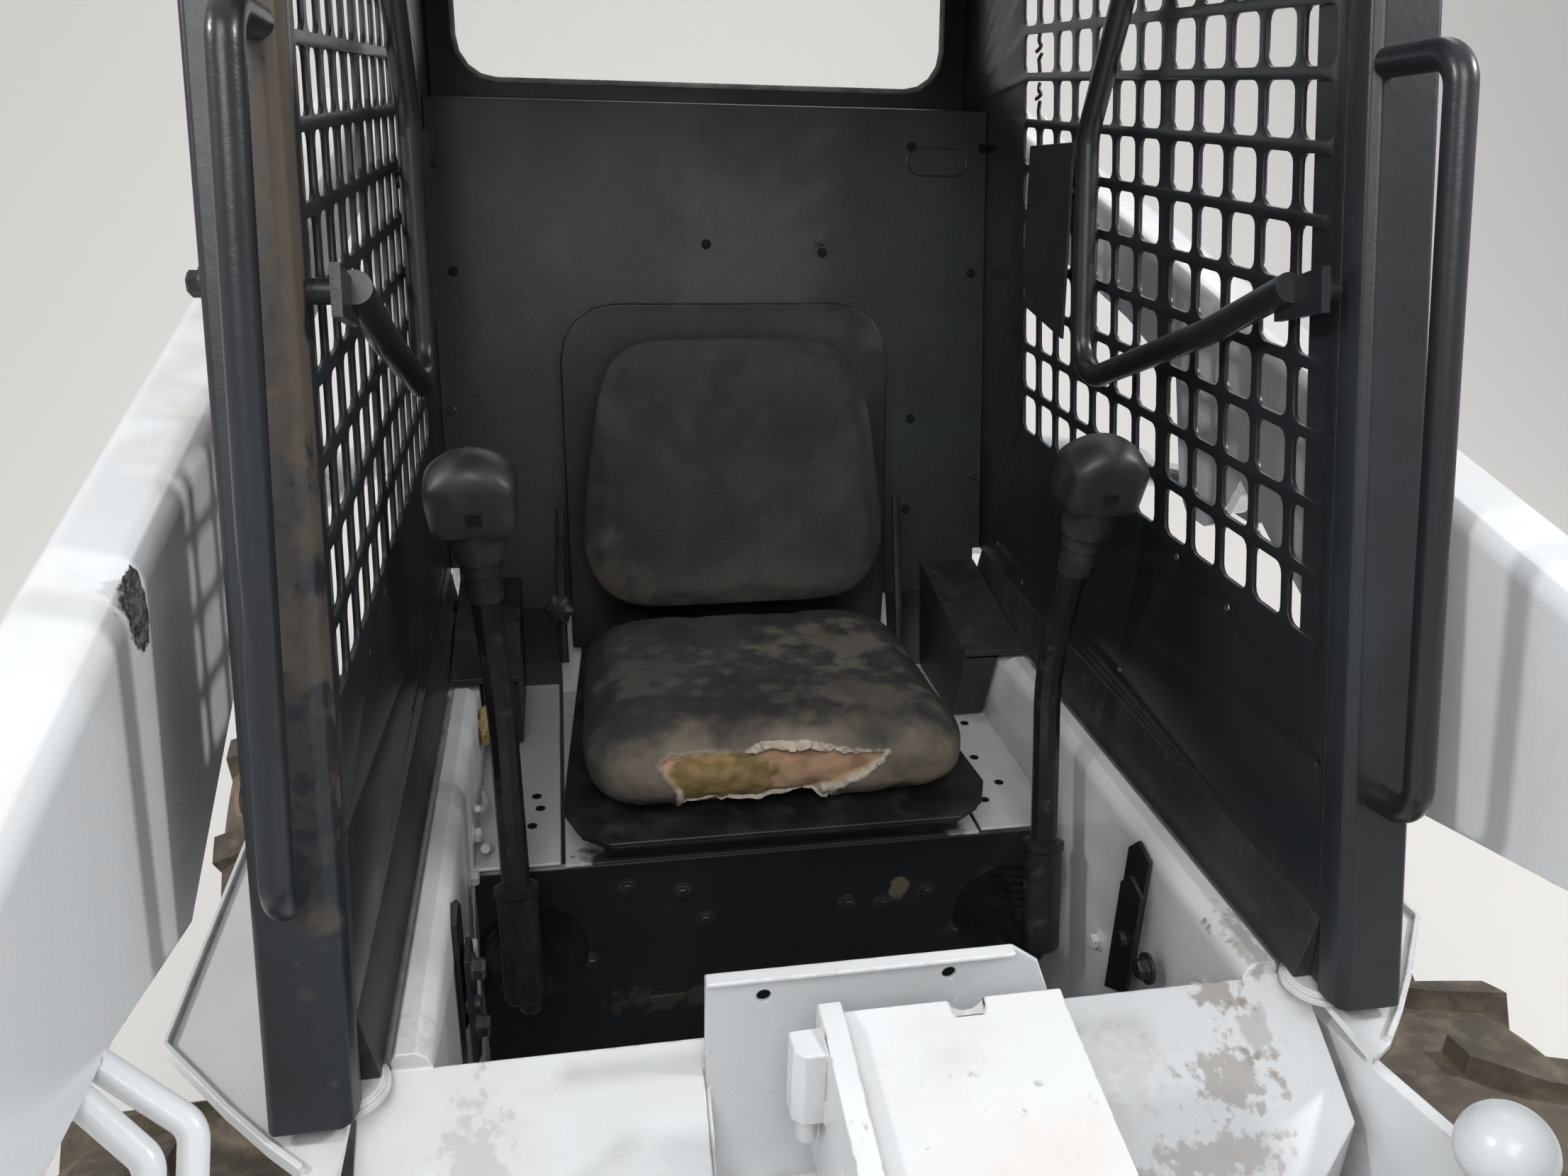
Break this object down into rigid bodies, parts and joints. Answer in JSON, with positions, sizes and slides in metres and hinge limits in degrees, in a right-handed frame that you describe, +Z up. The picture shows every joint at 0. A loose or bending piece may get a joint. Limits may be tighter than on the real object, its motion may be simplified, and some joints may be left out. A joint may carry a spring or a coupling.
{
  "type": "skid steer loader",
  "caption": "Wheeled skid steer loader with screened tilting cab, side lift arms, tool carrier and earth bucket.",
  "frame": {"origin": "on the floor under the middle of the machine's box", "axes": "+Z up, -Y the way the machine drives forward, +X the operator's left"},
  "size_m": [1.52, 3.4, 1.955],
  "materials": {
    "frame_paint": "gloss",
    "cab_paint": "satin",
    "dark_steel": "satin",
    "tyre_rubber": "matte",
    "boot_rubber": "matte",
    "seat_vinyl": "worn",
    "seat_plastic": "matte",
    "glass": "clear",
    "engine_iron": "matte",
    "rod_chrome": "polished",
    "bucket_paint": "worn"
  },
  "bodies": {
    "chassis": {"main_frame": "frame_paint", "fenders": "frame_paint", "tower_left": "frame_paint", "tower_right": "frame_paint", "axle_housings": "frame_paint", "front_guard": "frame_paint", "foot_panel": "cab_paint", "engine_block": "engine_iron", "engine_hood": "dark_steel", "bay_walls": "frame_paint", "rear_bumper": "dark_steel", "pedal_links": "dark_steel", "lever_boots": "boot_rubber", "drive_lever_left": "dark_steel", "drive_lever_right": "dark_steel", "cab_hinge_brackets": "dark_steel", "cab_mounts": "boot_rubber", "arm_stops": "frame_paint", "exhaust_pipe": "dark_steel"},
    "cab": {"cab_post_left": "cab_paint", "cab_post_right": "cab_paint", "side_screen_left": "cab_paint", "side_screen_right": "cab_paint", "cab_sills": "cab_paint", "guard_bar_left": "cab_paint", "guard_bar_right": "cab_paint", "grab_handle_left": "cab_paint", "grab_handle_right": "cab_paint", "bar_shields": "cab_paint", "cab_back": "cab_paint", "cab_roof": "cab_paint", "rear_window": "glass", "cab_hinge_ears": "cab_paint", "seat_deck": "frame_paint", "seat_pan": "seat_plastic", "seat_cushion": "seat_vinyl", "seat_backrest": "seat_vinyl", "seat_shell": "seat_plastic", "side_boxes": "cab_paint", "work_lamps": "dark_steel"},
    "lift_arms": {"lift_arm_left": "frame_paint", "lift_arm_right": "frame_paint", "arm_crossmember": "frame_paint", "arm_lines": "dark_steel"},
    "carrier": {"tool_carrier": "dark_steel", "bucket": "bucket_paint"},
    "lift_barrels": {"lift_cylinder_barrels": "frame_paint"},
    "lift_rods": {"lift_cylinder_rods": "rod_chrome"},
    "tilt_barrels": {"tilt_cylinder_barrels": "frame_paint"},
    "tilt_rods": {"tilt_cylinder_rods": "rod_chrome"},
    "engine_door": {"rear_door": "frame_paint"},
    "wheel_front_left": {"tyre_front_left": "tyre_rubber", "rim_front_left": "frame_paint"},
    "wheel_front_right": {"tyre_front_right": "tyre_rubber", "rim_front_right": "frame_paint"},
    "wheel_rear_left": {"tyre_rear_left": "tyre_rubber", "rim_rear_left": "frame_paint"},
    "wheel_rear_right": {"tyre_rear_right": "tyre_rubber", "rim_rear_right": "frame_paint"}
  },
  "joints": [
    {"name": "cab_tilt", "type": "hinge", "parent": "chassis", "child": "cab", "pos_m": [0, 1.03, 1.29], "axis": [-1, 0, 0], "range_deg": [0, 45]},
    {"name": "arm_lift", "type": "hinge", "parent": "chassis", "child": "lift_arms", "pos_m": [0, 1.32, 1.47], "axis": [-1, 0, 0], "range_deg": [0, 63]},
    {"name": "bucket_tilt", "type": "hinge", "parent": "lift_arms", "child": "carrier", "pos_m": [0, -0.83, 0.23], "axis": [1, 0, 0], "range_deg": [-25, 105]},
    {"name": "lift_barrel_swing", "type": "hinge", "parent": "chassis", "child": "lift_barrels", "pos_m": [0, 1.37, 0.9], "axis": [-1, 0, 0], "range_deg": [0, 45]},
    {"name": "lift_rod_stroke", "type": "slide", "parent": "lift_barrels", "child": "lift_rods", "axis": [0, -0.977, 0.2131], "range_m": [0, 0.467]},
    {"name": "tilt_barrel_swing", "type": "hinge", "parent": "lift_arms", "child": "tilt_barrels", "pos_m": [0, -0.54, 1], "axis": [1, 0, 0], "range_deg": [-6.5, 1.6]},
    {"name": "tilt_rod_stroke", "type": "slide", "parent": "tilt_barrels", "child": "tilt_rods", "axis": [0, -0.4441, -0.896], "range_m": [-0.058, 0.24]},
    {"name": "engine_door_swing", "type": "hinge", "parent": "chassis", "child": "engine_door", "pos_m": [-0.41, 1.643, 0.8], "axis": [0, 0, 1], "range_deg": [0, 110]},
    {"name": "wheel_front_left_turn", "type": "hinge", "parent": "chassis", "child": "wheel_front_left", "pos_m": [0.61, -0.15, 0.347], "axis": [1, 0, 0], "continuous": true},
    {"name": "wheel_front_right_turn", "type": "hinge", "parent": "chassis", "child": "wheel_front_right", "pos_m": [-0.61, -0.15, 0.347], "axis": [1, 0, 0], "continuous": true},
    {"name": "wheel_rear_left_turn", "type": "hinge", "parent": "chassis", "child": "wheel_rear_left", "pos_m": [0.61, 0.78, 0.347], "axis": [1, 0, 0], "continuous": true},
    {"name": "wheel_rear_right_turn", "type": "hinge", "parent": "chassis", "child": "wheel_rear_right", "pos_m": [-0.61, 0.78, 0.347], "axis": [1, 0, 0], "continuous": true}
  ],
  "couplings": [
    {"joint": "lift_barrel_swing", "follows": "arm_lift", "ratio": 0.7086},
    {"joint": "lift_rod_stroke", "follows": "arm_lift", "m_per_rad": 0.42422},
    {"joint": "tilt_barrel_swing", "follows": "bucket_tilt", "ratio": -0.06},
    {"joint": "tilt_rod_stroke", "follows": "bucket_tilt", "m_per_rad": 0.13}
  ]
}
